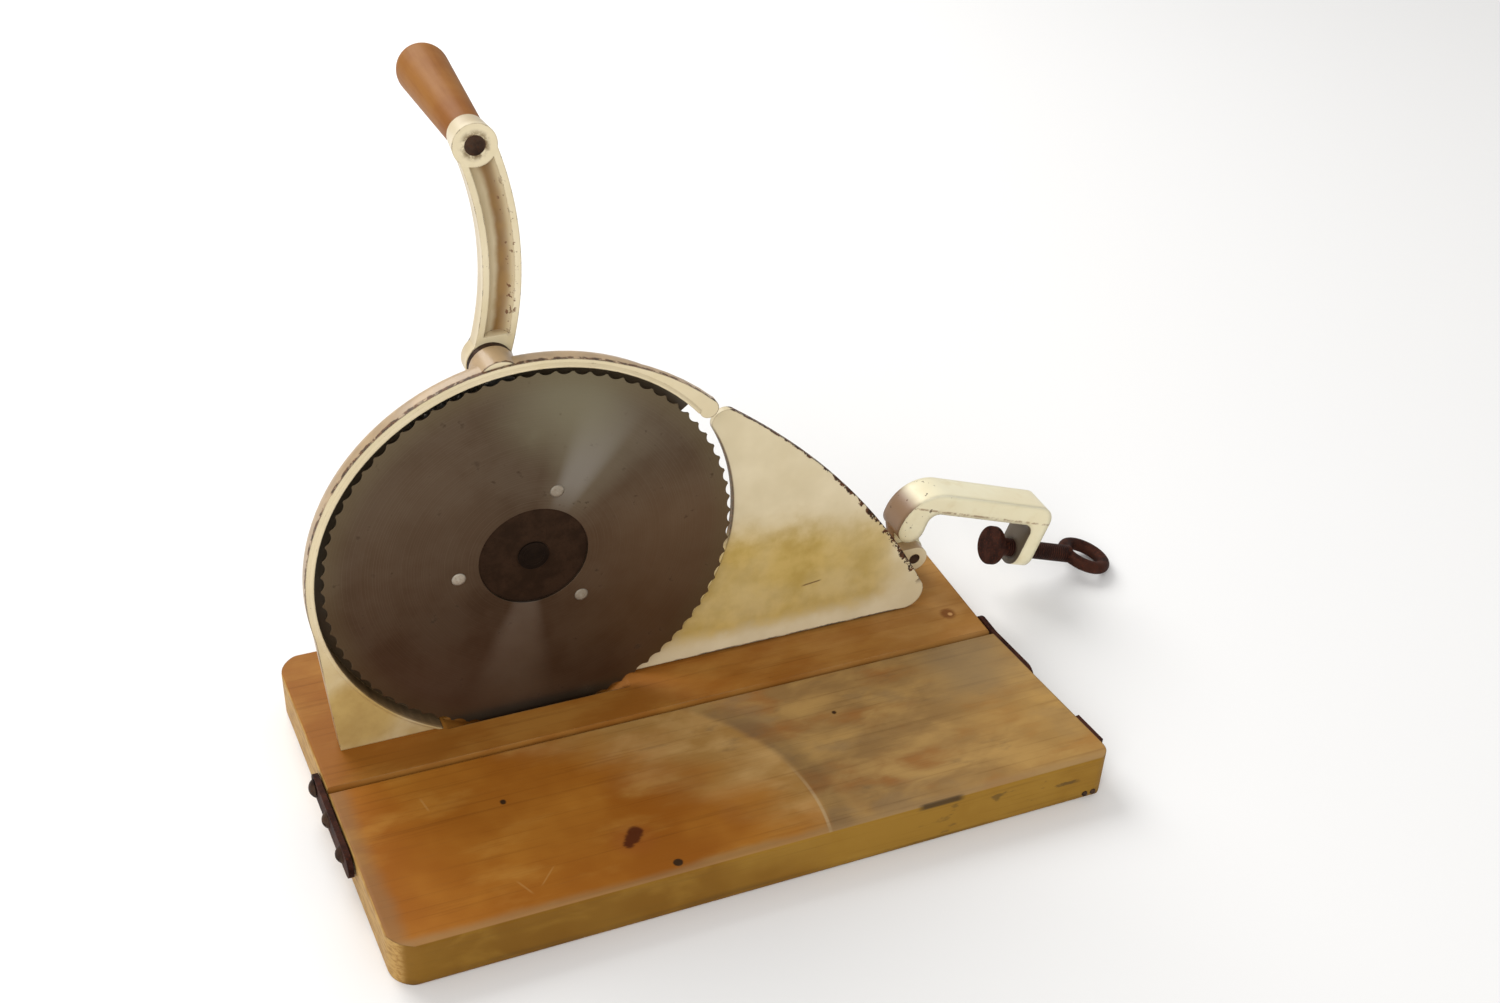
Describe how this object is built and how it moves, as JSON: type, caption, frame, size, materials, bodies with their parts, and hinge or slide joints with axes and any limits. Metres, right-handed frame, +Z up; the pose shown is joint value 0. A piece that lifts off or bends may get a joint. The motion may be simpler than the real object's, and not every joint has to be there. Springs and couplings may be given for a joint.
{
  "type": "hand crank bread slicer",
  "caption": "Hand cranked bread slicer with a round scalloped blade, enamelled frame, sliding fence, table clamp and folding wooden board",
  "frame": {"origin": "centre of the rear board's underside, where it rests on the table", "axes": "+X to the right along the board, +Y from the front to the back along the blade's axis, +Z up"},
  "size_m": [0.4524, 0.2341, 0.3144],
  "materials": {
    "board_wood": "worn varnished board, darker and greyer at its edges",
    "grip_wood": "varnished turned handle",
    "cream_enamel": "cream enamel, yellowed, chipped dark along its edges",
    "blade_steel": "dark tarnished steel with a ground sheen",
    "rusty_iron": "dark rusty iron",
    "dark_steel": "dull dark steel",
    "machined_steel": "plain turned steel, oiled"
  },
  "bodies": {
    "base": {"rear_board": "board_wood", "frame": "cream_enamel", "frame_screws": "machined_steel", "pivot_screws": "dark_steel", "idler_stud": "machined_steel", "clamp_pin": "dark_steel"},
    "blade": {"blade": "blade_steel", "blade_rivets": "dark_steel", "blade_carrier": "dark_steel", "blade_spindle": "machined_steel", "spindle_washer": "dark_steel", "spindle_collar": "machined_steel", "driven_gear": "machined_steel"},
    "idler": {"idler_gear": "machined_steel"},
    "crank": {"crank_pinion": "machined_steel", "crank_shaft": "machined_steel", "crank_washer": "dark_steel", "crank_arm": "cream_enamel", "crank_nut": "machined_steel", "handle_pin": "dark_steel"},
    "handle": {"handle_grip": "grip_wood"},
    "fence": {"fence_plate": "cream_enamel", "fence_rods": "machined_steel"},
    "lock": {"lock_screw": "machined_steel"},
    "clamp": {"clamp_arm": "cream_enamel"},
    "pad": {"clamp_pad": "rusty_iron"},
    "clamp_eye_screw": {"clamp_screw": "rusty_iron"},
    "leaf": {"front_board": "board_wood", "strap_left": "rusty_iron", "strap_right": "rusty_iron", "strap_screws": "dark_steel", "catch_plate": "rusty_iron", "catch_screws": "dark_steel", "leaf_tacks": "dark_steel"}
  },
  "joints": [
    {"name": "crank_turn", "type": "hinge", "parent": "base", "child": "crank", "pos_m": [-0.0753, -0.0123, 0.204], "axis": [0, 1, 0], "continuous": true},
    {"name": "blade_turn", "type": "hinge", "parent": "base", "child": "blade", "pos_m": [-0.0631, -0.0153, 0.1105], "axis": [0, 1, 0], "continuous": true},
    {"name": "idler_turn", "type": "hinge", "parent": "base", "child": "idler", "pos_m": [-0.08427, -0.0183, 0.1599], "axis": [0, 1, 0], "continuous": true},
    {"name": "handle_spin", "type": "hinge", "parent": "crank", "child": "handle", "pos_m": [-0.07755, 0.0447, 0.30297], "axis": [0, 1, 0], "continuous": true},
    {"name": "fence_slide", "type": "slide", "parent": "base", "child": "fence", "axis": [0, 1, 0], "range_m": [-0.004, 0.0065]},
    {"name": "lock_turn", "type": "hinge", "parent": "base", "child": "lock", "pos_m": [0.0489, 0.0047, 0.06], "axis": [0, 0, -1], "range_deg": [-180, 140]},
    {"name": "clamp_swing", "type": "hinge", "parent": "base", "child": "clamp", "pos_m": [0.1491, 0.0097, 0.0388], "axis": [0, 1, 0], "range_deg": [-10, 70.26]},
    {"name": "pad_slide", "type": "slide", "parent": "clamp", "child": "pad", "axis": [-0.9412, 0, 0.3378], "range_m": [-0.003, 0.01]},
    {"name": "clamp_screw_turn", "type": "hinge", "parent": "pad", "child": "clamp_eye_screw", "pos_m": [0.21799, 0.0097, 0.02353], "axis": [-0.9412, 0, 0.3378], "range_deg": [-360, 1200]},
    {"name": "leaf_fold", "type": "hinge", "parent": "base", "child": "leaf", "pos_m": [0, -0.0385, 0.0175], "axis": [-1, 0, 0], "range_deg": [0, 90]}
  ],
  "couplings": [
    {"joint": "blade_turn", "follows": "crank_turn", "ratio": 0.41667},
    {"joint": "idler_turn", "follows": "crank_turn", "ratio": -0.16129},
    {"joint": "clamp_screw_turn", "follows": "pad_slide", "rad_per_m": 2094.4}
  ]
}
